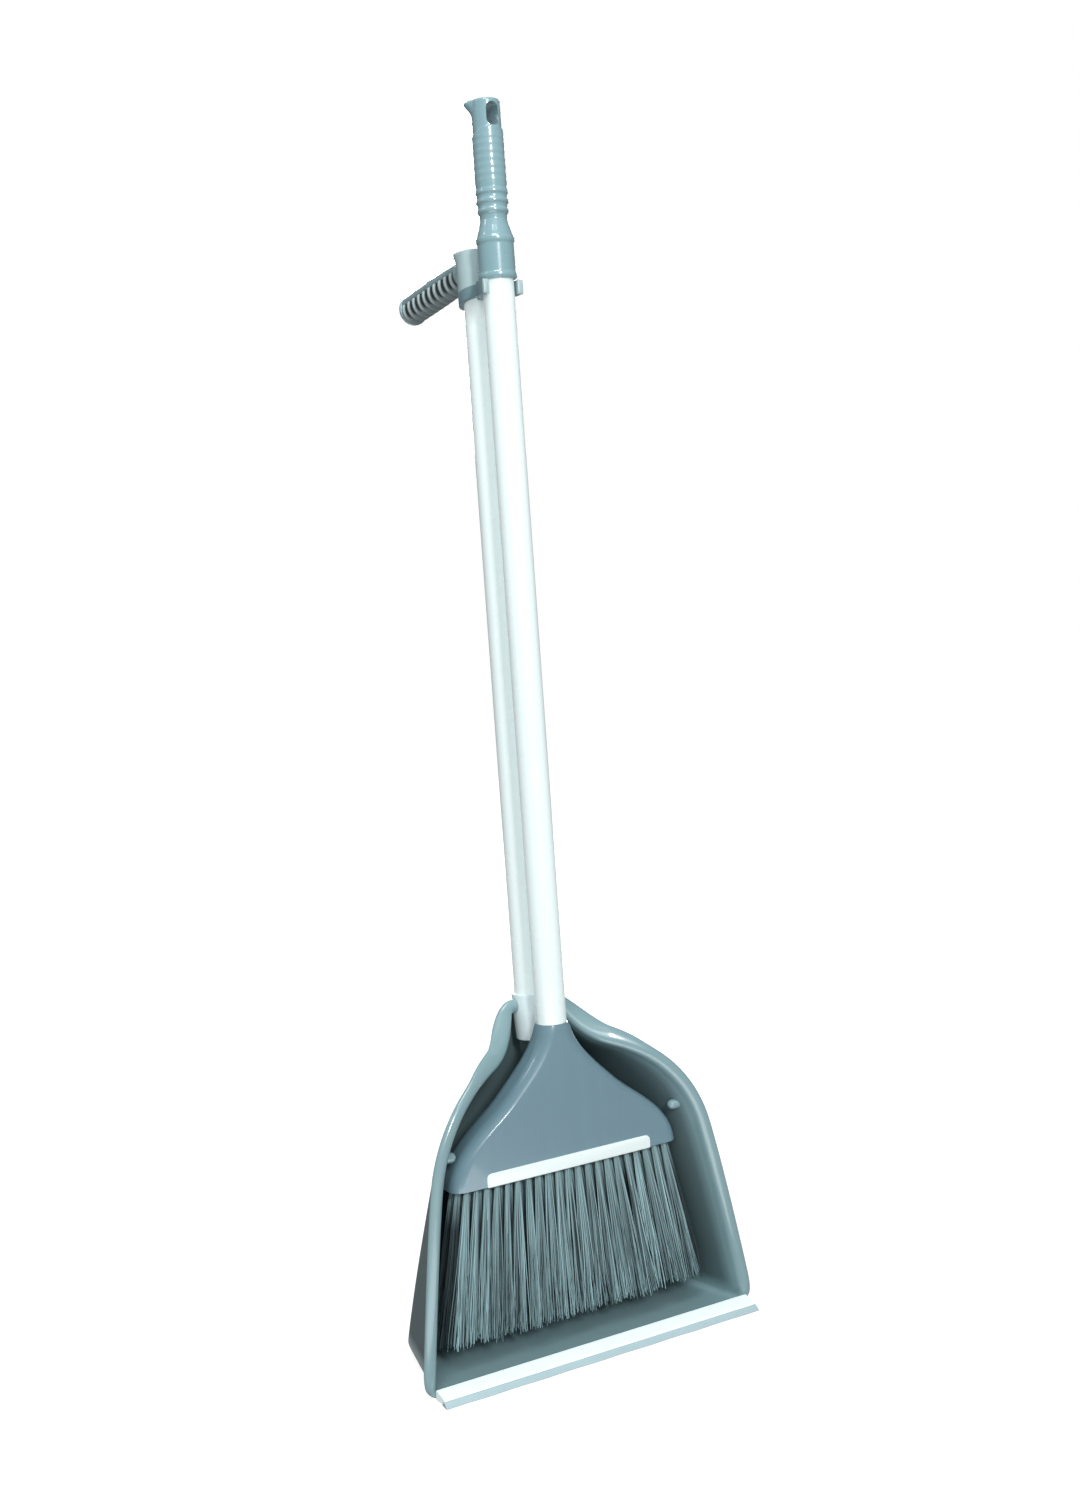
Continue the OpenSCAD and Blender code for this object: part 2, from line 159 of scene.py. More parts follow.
# Material, smooth shading, body, replaced CAD nodes and material slot of a finished piece.
def finishPiece(piece, body, nodes, material, sharpAngle=35):
    piece.data.materials.clear()
    piece.data.materials.append(material)
    piece.data.polygons.foreach_set("use_smooth", np.ones(len(piece.data.polygons), bool))
    piece.data.set_sharp_from_angle(angle=math.radians(sharpAngle))
    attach(piece, body)
    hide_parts(*nodes)
    print("made", piece.name, len(piece.data.polygons), "faces")


# Profile of (radius, height) turned about a vertical line at (0, centreY):
# x = r cos a, y = centreY + r sin a, z = height.
def turned(profile, centreY=0, steps=96):
    p = np.asarray(profile, float)
    a = np.linspace(0, twoPi, steps, endpoint=False)
    r, z = p[:, 0:1], p[:, 1:2]
    return np.stack([r * np.cos(a), centreY + r * np.sin(a), z + 0 * a], axis=-1)


# Materials

def addSockets(group, inputs, outputs):
    for name, kind, value in inputs:
        socket = group.interface.new_socket(name, in_out="INPUT", socket_type=kind)
        socket.default_value = value
    for name, kind in outputs:
        group.interface.new_socket(name, in_out="OUTPUT", socket_type=kind)


def noiseNode(group, coords, scale, detail, roughness=0.5):
    node = group.nodes.new("ShaderNodeTexNoise")
    node.inputs["Scale"].default_value = scale
    node.inputs["Detail"].default_value = detail
    node.inputs["Roughness"].default_value = roughness
    group.links.new(coords, node.inputs["Vector"])
    return node.outputs["Fac"]


def stretched(group, coords, scale):
    node = group.nodes.new("ShaderNodeMapping")
    node.inputs["Scale"].default_value = scale
    group.links.new(coords, node.inputs["Vector"])
    return node.outputs["Vector"]


def spread(group, value, low, high, toLow=0.0, toHigh=1.0):
    node = group.nodes.new("ShaderNodeMapRange")
    node.interpolation_type = "SMOOTHSTEP"
    for name, number in (("From Min", low), ("From Max", high), ("To Min", toLow), ("To Max", toHigh)):
        node.inputs[name].default_value = number
    group.links.new(value, node.inputs["Value"])
    return node.outputs["Result"]


def joined(group, operation, first, second, clamp=False):
    node = group.nodes.new("ShaderNodeMath")
    node.operation = operation
    node.use_clamp = clamp
    for k, value in enumerate((first, second)):
        if isinstance(value, (int, float)):
            node.inputs[k].default_value = value
        else:
            group.links.new(value, node.inputs[k])
    return node.outputs[0]


def blendColours(group, mask, first, second):
    node = group.nodes.new("ShaderNodeMix")
    node.data_type = "RGBA"
    group.links.new(mask, node.inputs["Factor"])
    for socket, value in ((node.inputs["A"], first), (node.inputs["B"], second)):
        if isinstance(value, tuple):
            socket.default_value = value
        else:
            group.links.new(value, socket)
    return node.outputs["Result"]


# Moulded plastic: slow drifts of tone, faint flow lines down the moulding, fine spark grain
# and a few soft scuffs that only change the gloss.
def mouldedFinishGroup():
    group = bpy.data.node_groups.new("mouldedFinish", "ShaderNodeTree")
    colour, number = "NodeSocketColor", "NodeSocketFloat"
    addSockets(group,
               [("Light", colour, (1, 1, 1, 1)), ("Dark", colour, (0, 0, 0, 1)), ("Flow", number, 0.3),
                ("Roughness", number, 0.3), ("Scuffs", number, 0.1), ("Grain", number, 0.5)],
               [("Colour", colour), ("Roughness", number), ("Height", number)])
    given = group.nodes.new("NodeGroupInput")
    result = group.nodes.new("NodeGroupOutput")
    coords = group.nodes.new("ShaderNodeTexCoord").outputs["Object"]
    drift = spread(group, noiseNode(group, coords, 11, 3), 0.3, 0.7)
    lines = spread(group, noiseNode(group, stretched(group, coords, (95, 60, 5)), 1, 2), 0.35, 0.65)
    flow = joined(group, "MULTIPLY", lines, given.outputs["Flow"])
    tone = joined(group, "ADD", joined(group, "MULTIPLY", drift, 0.5), flow, clamp=True)
    group.links.new(blendColours(group, tone, given.outputs["Light"], given.outputs["Dark"]),
                    result.inputs["Colour"])
    scratch = spread(group, noiseNode(group, stretched(group, coords, (300, 220, 35)), 1, 4, 0.65), 0.56, 0.72)
    patch = spread(group, noiseNode(group, coords, 24, 4, 0.6), 0.45, 0.7)
    scuff = joined(group, "MULTIPLY", joined(group, "ADD", scratch, patch), given.outputs["Scuffs"])
    group.links.new(joined(group, "ADD", given.outputs["Roughness"], scuff, clamp=True),
                    result.inputs["Roughness"])
    fine = noiseNode(group, coords, 1400, 3, 0.6)
    ripple = joined(group, "MULTIPLY", noiseNode(group, coords, 60, 2), 2.0)
    group.links.new(joined(group, "MULTIPLY", joined(group, "ADD", fine, ripple), given.outputs["Grain"]),
                    result.inputs["Height"])
    return group


mouldedFinish = mouldedFinishGroup()


def startMaterial(name):
    material = bpy.data.materials.new(name)
    material.use_nodes = True
    return material, material.node_tree, material.node_tree.nodes["Principled BSDF"]


def bumpFrom(tree, height, shader, distance, strength):
    bump = tree.nodes.new("ShaderNodeBump")
    bump.inputs["Distance"].default_value = distance
    bump.inputs["Strength"].default_value = strength
    tree.links.new(height, bump.inputs["Height"])
    tree.links.new(bump.outputs["Normal"], shader.inputs["Normal"])


def plasticMaterial(name, light, dark, roughness, coat=0.0, coatRoughness=0.08, flow=0.3, scuffs=0.1,
                    grain=0.5, bump=0.25, glow=0.0, paintedShadowLevel=1.0):
    material, tree, shader = startMaterial(name)
    finish = tree.nodes.new("ShaderNodeGroup")
    finish.node_tree = mouldedFinish
    for socket, value in (("Light", (*light, 1)), ("Dark", (*dark, 1)), ("Flow", flow),
                          ("Roughness", roughness), ("Scuffs", scuffs), ("Grain", grain)):
        finish.inputs[socket].default_value = value
    colour, rough = finish.outputs["Colour"], finish.outputs["Roughness"]
    shader.inputs["Coat Weight"].default_value = coat
    # Painted shadow: where the mesh's mask is 1, the colour turns to the dark colour times this level and the coat
    # drops to a tenth, dimming reflections; roughness rises there too.
    if paintedShadowLevel < 1:
        paintedShadowMask = tree.nodes.new("ShaderNodeAttribute")
        paintedShadowMask.attribute_name = "paintedShadowMask"
        shaded = tuple(paintedShadowLevel * k for k in dark) + (1,)
        colour = blendColours(tree, paintedShadowMask.outputs["Fac"], colour, shaded)
        tree.links.new(spread(tree, paintedShadowMask.outputs["Fac"], 0, 1, coat, 0.1 * coat), shader.inputs["Coat Weight"])
        rough = joined(tree, "ADD", rough, joined(tree, "MULTIPLY", paintedShadowMask.outputs["Fac"], 0.3), clamp=True)
    tree.links.new(colour, shader.inputs["Base Color"])
    tree.links.new(rough, shader.inputs["Roughness"])
    shader.inputs["Coat Roughness"].default_value = coatRoughness
    # Glow: an emission in the light colour, painted light that makes a part shine though it is no lamp.
    shader.inputs["Emission Color"].default_value = (*light, 1)
    shader.inputs["Emission Strength"].default_value = glow
    bumpFrom(tree, finish.outputs["Height"], shader, 0.0002, bump)
    return material


# Filaments: the mesh carries a tone for each strand and its share of the way to the tip. Inner rows
# carry a darker tone, which stands in for the shade between the tufts.
def bristleMaterial(name, rootColour, lightColour, darkColour):
    material, tree, shader = startMaterial(name)
    tone = tree.nodes.new("ShaderNodeAttribute")
    tone.attribute_name = "tone"
    along = tree.nodes.new("ShaderNodeAttribute")
    along.attribute_name = "along"
    strand = blendColours(tree, tone.outputs["Fac"], (*lightColour, 1), (*darkColour, 1))
    depth = spread(tree, along.outputs["Fac"], 0.0, 0.3)
    colour = blendColours(tree, depth, (*rootColour, 1), strand)
    tree.links.new(colour, shader.inputs["Base Color"])
    tree.links.new(spread(tree, tone.outputs["Fac"], 0, 1, 0.38, 0.6), shader.inputs["Roughness"])
    shader.inputs["Sheen Weight"].default_value = 0.15
    shader.inputs["Sheen Roughness"].default_value = 0.4
    return material


# Ribbed rubber: the mesh carries how near a point is to a rib's crest; crests are painted pale, a painted highlight,
# and grooves nearly black, painted shade.
def ribbedMaterial(name, crestColour, grooveColour):
    material, tree, shader = startMaterial(name)
    crest = tree.nodes.new("ShaderNodeAttribute")
    crest.attribute_name = "crest"
    finish = tree.nodes.new("ShaderNodeGroup")
    finish.node_tree = mouldedFinish
    for socket, value in (("Light", (*crestColour, 1)), ("Dark", tuple(0.8 * k for k in crestColour) + (1,)),
                          ("Flow", 0.15), ("Roughness", 0.42), ("Scuffs", 0.15), ("Grain", 1.0)):
        finish.inputs[socket].default_value = value
    paintedCrestLight = spread(tree, crest.outputs["Fac"], 0.15, 0.95)
    tree.links.new(blendColours(tree, paintedCrestLight, (*grooveColour, 1), finish.outputs["Colour"]),
                   shader.inputs["Base Color"])
    tree.links.new(finish.outputs["Roughness"], shader.inputs["Roughness"])
    bumpFrom(tree, finish.outputs["Height"], shader, 0.0002, 0.35)
    return material


# The pan's walls behind the rim carry a painted shadow at 0.36 of the dark colour.
panPlastic = plasticMaterial("panPlastic", (0.232, 0.368, 0.398), (0.205, 0.332, 0.36), 0.27, coat=0.6,
                             coatRoughness=0.12, flow=0.1, scuffs=0.0, bump=0.035, paintedShadowLevel=0.36)
headPlastic = plasticMaterial("headPlastic", (0.155, 0.265, 0.32), (0.14, 0.24, 0.29), 0.30, coat=0.7,
                              coatRoughness=0.08, flow=0.25, scuffs=0.05, bump=0.08)
gripPlastic = plasticMaterial("gripPlastic", (0.235, 0.39, 0.43), (0.205, 0.345, 0.385), 0.26, coat=0.8,
                              coatRoughness=0.05, flow=0.2, bump=0.12)
canePlastic = plasticMaterial("canePlastic", (0.26, 0.40, 0.43), (0.22, 0.345, 0.375), 0.30, coat=0.5,
                              coatRoughness=0.12, flow=0.3, bump=0.2)
collarPlastic = plasticMaterial("collarPlastic", (0.44, 0.59, 0.615), (0.39, 0.53, 0.555), 0.32, coat=0.3,
                                flow=0.25, bump=0.2)
# The ferrule glows a little: painted light.
ferrulePlastic = plasticMaterial("ferrulePlastic", (0.66, 0.78, 0.80), (0.60, 0.72, 0.74), 0.30, coat=0.4,
                                 flow=0.2, bump=0.15, glow=0.12)
# The clip's tips are a paler copy of the clip's plastic: painted light on the ends that face the lamps.
litClipTipPlastic = plasticMaterial("litClipTipPlastic", (0.40, 0.53, 0.545), (0.36, 0.48, 0.495), 0.34, coat=0.3, bump=0.2)
clipPlastic = plasticMaterial("clipPlastic", (0.16, 0.26, 0.295), (0.135, 0.225, 0.26), 0.36, coat=0.2, bump=0.2)
gripRubber = ribbedMaterial("gripRubber", (0.50, 0.62, 0.635), (0.022, 0.036, 0.042))
# The tubes glow: painted light that keeps them near white on their shaded sides.
tubeCoating = plasticMaterial("tubeCoating", (0.71, 0.81, 0.815), (0.69, 0.79, 0.795), 0.26, coat=0.5,
                              coatRoughness=0.06, flow=0.3, scuffs=0.08, grain=0.3, bump=0.08, glow=0.24)
# The lip is one white rubber: the band glows, painted light, and the blade is a darker, bluer copy of it, painted
# shade where it faces forward and down.
lipRubber = plasticMaterial("lipRubber", (0.80, 0.91, 0.91), (0.76, 0.87, 0.875), 0.42, flow=0.1,
                            scuffs=0.1, bump=0.15, glow=0.25)
shadedLipBladeRubber = plasticMaterial("shadedLipBladeRubber", (0.45, 0.60, 0.64), (0.40, 0.54, 0.58), 0.38, flow=0.2,
                              scuffs=0.1, bump=0.15)
# The edge strip glows: painted light.
stripPlastic = plasticMaterial("stripPlastic", (0.70, 0.79, 0.79), (0.68, 0.77, 0.775), 0.3, coat=0.3,
                               flow=0.1, bump=0.1, glow=0.2)
innerPlastic = plasticMaterial("innerPlastic", (0.06, 0.08, 0.09), (0.04, 0.055, 0.06), 0.5, bump=0.2)
bristleFibre = bristleMaterial("bristleFibre", (0.27, 0.42, 0.445), (0.45, 0.69, 0.735), (0.02, 0.042, 0.05))
print("materials ready")


# Pan

pan = {
    "wall": 2.4, "backTilt": 0.05, "backY": 28, "depth": 95, "cornerRadius": 10, "floorBlend": 9,
    "steps": (6, 6, 14, 16, 20, 6), "smoothing": 1,
    "neckAt": 236, "neckReach": 23, "neckWiden": 0.6, "neckLean": 0.9,
    "nubAt": (99.5, -43, 167), "nubRadius": 4, "nubLength": 5,
    # radius, bottom and top of the hole that the ferrule stands in
    "ferruleHole": (14.6, 232, 280),
}


def onBack(x, z):
    return (x, pan["backY"] - pan["backTilt"] * z, z)


# Right half of the outline as six cubic stretches: floor, corner, wall, shoulder, neck and top.
panBackNet = np.array([
    [onBack(0, 0), onBack(37, 0), onBack(74, 0), onBack(111, 0)],
    [onBack(111, 0), onBack(115.5, 0), onBack(119, 3.5), onBack(118.5, 8)],
    [onBack(118.5, 8), onBack(110.5, 50), onBack(98, 95), onBack(86, 139)],
    [onBack(86, 139), onBack(80, 161), onBack(60, 190), onBack(38, 215)],
    [onBack(38, 215), onBack(28, 227), onBack(21, 245), onBack(18, 259)],
    [onBack(18, 259), onBack(12, 259), onBack(6, 259), onBack(0, 259)],
], float)
panFrontNet = np.array([
    [(0, -68, 0), (44, -68, 0), (88, -68, 0), (131, -68, 0)],
    [(131, -68, 0), (136, -68, 0), (139.4, -67.6, 3.5), (138.5, -67.2, 8)],
    [(138.5, -67.2, 8), (132.5, -65, 50), (123.5, -60, 112), (115.5, -57, 150)],
    [(115.5, -57, 150), (110, -55, 176), (93, -52, 210), (50, -31, 225)],
    [(50, -31, 225), (32, -21.55, 232.65), (26, -10, 248), (19, -1, 257)],
    [(19, -1, 257), (12, -1, 257), (6, -1, 257), (0, -1, 257)],
], float)


# Half ring at depth v: each stretch is a cubic whose control points run from the back net
# to the front net, v of the way.
def panHalf(v):
    net = panBackNet + (panFrontNet - panBackNet) * v
    parts = [cubic(stretch, np.arange(n) / n) for stretch, n in zip(net, pan["steps"])]
    return np.concatenate(parts + [net[-1][-1:]])


# Section stations from the back panel's outside round the rim to its inside:
# depth v, wall offset, share of the back corner radius, wall dy, floor offset, floor dy.
def panStations():
    w, r, cv = pan["wall"], pan["cornerRadius"], pan["cornerRadius"] / pan["depth"]
    ri = r - w
    bend = np.radians([0, 22, 45, 68, 90])
    backOut = [(cv * (1 - math.cos(a)), 0, -r * (1 - math.sin(a)), 0, 0, 0) for a in bend]
    wallOut = [(v, 0, 0, 0, 0, 0) for v in (0.25, 0.45, 0.65, 0.85)]
    rim = [(1, 0, 0, 3.2, 0, 2.7), (1, 0.3, 0, 0.6, 0, 1.5),
           (1, 1.7, 0, -1.6, 0, 0.5), (1, 4, 0, -2.6, 0, -0.5),
           (1, 6.8, 0, -2.2, 0, -1.5), (1, 8.6, 0, -0.8, 0, -2.3), (1, 9.2, 0, -1.4, -0.5, -2.7),
           (1, 9.0, 0, -2.9, -w + 0.5, -2.7), (1, 7.6, 0, -4.3, -w, -1.5), (1, 5.4, 0, -5, -w, -0.5),
           (1, 2.4, 0, -4.7, -w, 0.3), (1, 0.2, 0, -3.4, -w, 1.0),
           (1, -1.6, 0, -1.0, -w, 1.8), (1, -w, 0, 2.6, -w, 3.2)]
    wallIn = [(v, -w, 0, 0, -w, 0) for v in (0.85, 0.65, 0.45, 0.25)]
    backIn = [(cv * (1 - math.cos(a)), -w, -ri * (1 - math.sin(a)), -w * (1 - math.sin(a)), -w,
               -w * (1 - math.sin(a))) for a in bend[::-1]]
    return backOut + wallOut + rim + wallIn + backIn


# A ring of the pan: the half ring is pushed along its outward direction in the XZ plane and
# along Y by the station's amounts (wall amounts above the floor, floor amounts on it), then mirrored.
# Round the neck the flange gains a share of its width, 1 minus the squared height difference.
def panRing(station):
    v, wallOut, cornerShare, wallDy, floorOut, floorDy = station
    half = panHalf(v)
    tangent = np.gradient(half, axis=0)
    length = np.hypot(tangent[:, 0], tangent[:, 2])
    outward = np.stack([tangent[:, 2] / length, 0 * length, -tangent[:, 0] / length], axis=1)
    outward[0], outward[-1] = (0, 0, -1), (0, 0, 1)
    span = (panHalf(0)[:, 1] - panHalf(1)[:, 1]) / pan["depth"]
    onWall = np.clip(half[:, 2] / pan["floorBlend"], 0, 1)
    nearNeck = np.maximum(0, 1 - ((half[:, 2] - pan["neckAt"]) / pan["neckReach"]) ** 2)
    extra = max(0, wallOut) * pan["neckWiden"] * nearNeck
    push = floorOut + (wallOut - floorOut) * onWall + extra + cornerShare * span
    half = half + outward * push[:, None]
    half[:, 1] += floorDy + (wallDy - floorDy) * onWall + pan["neckLean"] * extra
    return np.concatenate([half, half[-2:0:-1] * (-1, 1, 1)])


# A nub: a short rod along X with a domed end, radius against distance as a quarter circle.
def nubGrid(side):
    x, y, z = pan["nubAt"]
    dome = np.radians(np.linspace(6, 90, 7))
    radius = np.concatenate([pan["nubRadius"] * np.sin(dome), [pan["nubRadius"]]])
    along = np.concatenate([x - pan["nubRadius"] * np.cos(dome), [x + pan["nubLength"]]])
    a = np.linspace(0, twoPi, 32, endpoint=False)
    return np.stack([side * (along[:, None] + 0 * a), y + radius[:, None] * np.cos(a),
                     z + radius[:, None] * np.sin(a)], axis=-1)


# The rings of all stations are joined into one shell, then the ferrule's hole is cut through it.
def buildPan():
    stations = panStations()
    rings = np.stack([panRing(station) for station in stations])
    shell = gridPiece("panShell", [rings])
    # Mask for the finish: 0 on the rim and the floor, 1 on the walls behind the rim. It paints in
    # a shadow that the light alone leaves too weak.
    depths = np.array([station[0] for station in stations])[:, None]
    paintedShadowMask = smoothStep(1.0, 0.8, depths) * smoothStep(4, 16, rings[..., 2])
    layer = shell.data.attributes.new("paintedShadowMask", "FLOAT", "POINT")
    layer.data.foreach_set("value", np.concatenate([paintedShadowMask.ravel(), [1, 1]]).astype(np.float32))
    faceOutwards(shell)
    subdivide(shell, pan["smoothing"])
    radius, bottom, top = pan["ferruleHole"]
    hole = gridPiece("hole", [turned([(radius, bottom), (radius, top)])])
    faceOutwards(hole)
    cutAway(shell, hole)
    finishPiece(shell, "pan", ["pan_body"], panPlastic, 40)
    nubs = gridPiece("headNubs", [nubGrid(1), nubGrid(-1)])
    faceOutwards(nubs)
    finishPiece(nubs, "pan", ["pan_body"], panPlastic)


buildPan()

# Lip

lip = {
    "halfWidth": 138.8, "columns": 90, "wave": 0.25, "waveLength": 46,
    # y, z and corner radius of the section: a sloping top band, a groove and a blade to the ground
    "band": [(-71.2, 0.15, 0.3), (-71.2, 7.2, 0.9), (-73.0, 8.2, 0.9), (-85.6, 5.4, 0.6), (-86.6, 4.5, 0.5),
             (-85.0, 3.5, 0.3), (-82.0, 2.4, 0.6), (-80, 0.7, 0.6)],
    "blade": [(-82.0, 0.9, 0.3), (-84.6, 3.5, 0.4), (-86.2, 3.9, 0.5), (-90.3, 0.8, 0.3), (-90.4, 0.1, 0.2),
              (-86.5, 0.05, 0.4)],
    "bladeOver": 0.4,
}


# A section is carried along X; the blade's edge follows a low sine wave, stronger towards the edge.
def buildLip():
    end = np.array([-1, -0.998, *np.linspace(-0.985, 0.985, lip["columns"]), 0.998, 1])
    shrink = np.where(np.abs(end) > 0.9985, 0.96, 1.0)
    # The band takes the glowing rubber; the blade takes its copy in painted shade.
    for name, part, over, material in (("lipBand", "band", 0, lipRubber),
                                       ("lipBlade", "blade", lip["bladeOver"], shadedLipBladeRubber)):
        section = np.array(lip[part], float)
        outline = roundedLine(section[:, :2], section[:, 2], 4, closed=True)
        centre = outline.mean(axis=0)
        rows = centre + (outline - centre)[None] * shrink[:, None, None]
        x = np.repeat((end * (lip["halfWidth"] + over))[:, None], len(outline), axis=1)
        edge = smoothStep(-84, -90, rows[..., 0])
        sway = lip["wave"] * edge * np.sin(twoPi * x / lip["waveLength"])
        piece = gridPiece(name, [np.stack([x, rows[..., 0] + sway, rows[..., 1]], axis=-1)])
        faceOutwards(piece)
        finishPiece(piece, "pan", ["lip_strip"], material, 38)


buildLip()

# Tubes, ferrule and collar

tubeRadius = 12
boreRadius = tubeRadius + 0.05
broomY = -33
tubes = {
    "wall": 0.6,
    "panTube": ("pan", "pan_tube", 0, 237, 845),
    "broomTube": ("broom", "broom_tube", broomY, 251.2, 850),
}


# A tube is the closed outline of its wall, with rounded ends, turned about the tube's line.
def buildTube(name):
    body, node, y, bottom, top = tubes[name]
    inside = tubeRadius - tubes["wall"]
    heights = np.linspace(bottom, top, 9)[1:-1]
    wallLine = [(tubeRadius, z) for z in heights]
    profile = np.concatenate([roundedLine([(inside, bottom), (tubeRadius, bottom), wallLine[0]], 0.25),
                              wallLine[1:], roundedLine([wallLine[-1], (tubeRadius, top), (inside, top)], 0.25)[1:]])
    piece = gridPiece(name, [turned(profile, y, 96)], closeRows=True)
    faceOutwards(piece)
    finishPiece(piece, body, [node], tubeCoating)


buildTube("panTube")
buildTube("broomTube")

ferrule = {"bottom": 233, "top": 270, "tipRadius": 12.9, "radius": 14.5}


# A cup that tapers to the tip radius over its lower part, turned about the pan tube's line.
def buildFerrule():
    b, t, r = ferrule["bottom"], ferrule["top"], ferrule["radius"]
    corners = [(0.3, b), (ferrule["tipRadius"], b), (r, t - 12), (r, t), (boreRadius, t),
               (boreRadius, b + 4), (0.3, b + 4)]
    piece = gridPiece("handleFerrule", [turned(roundedLine(corners, 0.9, 5), 0, 96)], closeRows=True)
    faceOutwards(piece)
    finishPiece(piece, "pan", ["handle_ferrule"], ferrulePlastic)


buildFerrule()

collar = {"bottom": 812, "top": 848, "radius": 15.5, "flare": 2.5, "flareFrom": 836, "flatFront": -14.4,
          "rimWidth": 1.8, "recess": 2.0}


# The collar's radius grows by a smooth step in height on its back half only; its front is cut flat,
# so y never passes the flat.
def buildCollar():
    c = collar
    corners = [(boreRadius, c["bottom"]), (c["radius"], c["bottom"]), (c["radius"], c["flareFrom"]),
               (c["radius"], c["top"] - 4), (c["radius"], c["top"]), (c["radius"] - c["rimWidth"], c["top"]),
               (c["radius"] - c["rimWidth"], c["top"] - c["recess"]), (0.3, c["top"] - c["recess"]),
               (0.3, c["top"] - c["recess"] - 1), (boreRadius, c["top"] - c["recess"] - 1)]
    grid = turned(roundedLine(corners, 0.8, 5), 0, 128)
    angle = np.arctan2(grid[..., 1], grid[..., 0])
    back = smoothStep(-0.1, 0.75, np.sin(angle))
    rimInside = c["radius"] - c["rimWidth"]
    outer = smoothStep(rimInside - 1.5, rimInside, np.hypot(grid[..., 0], grid[..., 1]))
    grow = 1 + back * outer * smoothStep(c["flareFrom"], c["top"], grid[..., 2]) ** 1.5 * c["flare"] / c["radius"]
    grid[..., 0] *= grow
    grid[..., 1] = np.maximum(grid[..., 1] * grow, c["flatFront"])
    piece = gridPiece("gripCollar", [grid], closeRows=True)
    faceOutwards(piece)
    finishPiece(piece, "pan", ["grip_collar"], collarPlastic)


buildCollar()

# Broom clip

clip = {"bottom": 806, "ringRadius": 15.8, "gap": 0.35, "armWidth": 4.4, "armFront": -41.5,
        "padLength": 2.2, "edge": 0.6, "ringHeight": 9.0, "ringTilt": 0.22,
        "jawBottom": 809.2, "jawHeight": 10.8}


# Ring: a turned band whose height rises towards the front by the tilt times the distance. Arms: a
# rounded rectangle carried along a U of a straight, a half circle and a straight; across is the
# direction at right angles to the path.
def buildClip():
    c = clip
    ringTop = c["bottom"] + c["ringHeight"]
    ring = turned(roundedLine([(boreRadius, c["bottom"] + 3), (boreRadius, c["bottom"]),
                               (c["ringRadius"], c["bottom"]), (c["ringRadius"], ringTop),
                               (boreRadius, ringTop), (boreRadius, ringTop - 3)], c["edge"]))
    ring[..., 2] += c["ringTilt"] * (c["ringRadius"] - ring[..., 1])
    middle = tubeRadius + c["gap"] + c["armWidth"] / 2
    turn = np.linspace(0, math.pi, 41)
    armFront = c["armFront"] + c["padLength"]
    run = np.array([0, 0.35, 0.8, 1.0])
    y = np.concatenate([armFront + (broomY - armFront) * run[:-1], broomY + middle * np.sin(turn),
                        (broomY + (armFront - broomY) * run)[1:]])
    x = np.concatenate([np.full(3, middle), middle * np.cos(turn), np.full(3, -middle)])
    path = np.stack([x, y], axis=1)
    tangent = np.gradient(path, axis=0)
    tangent /= np.linalg.norm(tangent, axis=1, keepdims=True)
    across = np.stack([tangent[:, 1], -tangent[:, 0]], axis=1)
    w, h = c["armWidth"] / 2, c["jawHeight"] / 2
    section = roundedLine([(-w, -h), (w, -h), (w, h), (-w, h)], c["edge"], 3, closed=True)
    size = np.array([0.9, 0.97] + [1] * (len(path) - 4) + [0.97, 0.9])[:, None, None]
    xy = path[:, None] + across[:, None] * section[None, :, 0:1] * size
    z = c["jawBottom"] + h + section[None, :, 1:2] * size * 0.985
    arms = np.concatenate([xy, z], axis=-1)
    # A short web joins the ring to the U; pads close the arms' front ends.
    webY = np.array([-13.0, broomY + middle - 0.5])[:, None]
    flat = 0 * section[None, :, 0]
    web = np.stack([section[None, :, 0] / w * 8 + 0 * webY, webY + flat,
                    c["jawBottom"] + h + section[None, :, 1] * 0.95 + 0 * webY], axis=-1)
    padRun = np.array([0, 0.25, 0.7, c["padLength"] + 0.3])[:, None]
    padSize = np.array([0.82, 0.95, 1, 1])[:, None]
    pads = [np.stack([side * middle + section[None, :, 0] * padSize, c["armFront"] + padRun + flat,
                      c["jawBottom"] + h + section[None, :, 1] * padSize], axis=-1) for side in (-1, 1)]
    band = gridPiece("clipRing", [ring], closeRows=True)
    jaws = gridPiece("clipJaws", [arms, web])
    tips = gridPiece("clipTips", pads)
    # The tips take the paler copy of the clip's plastic: painted light.
    for part, material in ((band, clipPlastic), (jaws, clipPlastic), (tips, litClipTipPlastic)):
        faceOutwards(part)
        finishPiece(part, "pan", ["broom_clip"], material)


buildClip()

# Ribbed cane grip

cane = {"height": 837, "drop": 5.3, "rootStart": 13, "sleeveStart": 20, "length": 98, "radius": 11.8,
        "ribs": 10, "ribDepth": 2.3, "ribLean": 3.0, "spineHalf": 74, "spineLift": 0.5, "coreRadius": 7,
        "rootShare": 0.9, "belly": 0.06, "belowTone": 0.5}


# Local grip coordinates (distance s along it, radius r, angle a from the side, 90 degrees up)
# to the frame: s runs back and slightly down, by the drop angle.
def caneGrid(s, r, a):
    d = math.radians(cane["drop"])
    side, up = r * np.cos(a), r * np.sin(a)
    return np.stack([side + 0 * s, s * math.cos(d) + up * math.sin(d),
                     cane["height"] - s * math.sin(d) + up * math.cos(d)], axis=-1)


# Share of the full radius at distance s: thinner at the root, rising as a square root curve,
# plus a low half sine for the belly.
def caneSwell(s):
    t = np.clip((s - cane["sleeveStart"]) / cane["length"], 0, 1)
    return cane["rootShare"] + (1 - cane["rootShare"]) * np.sqrt(t) + cane["belly"] * np.sin(math.pi * t) * 0.5


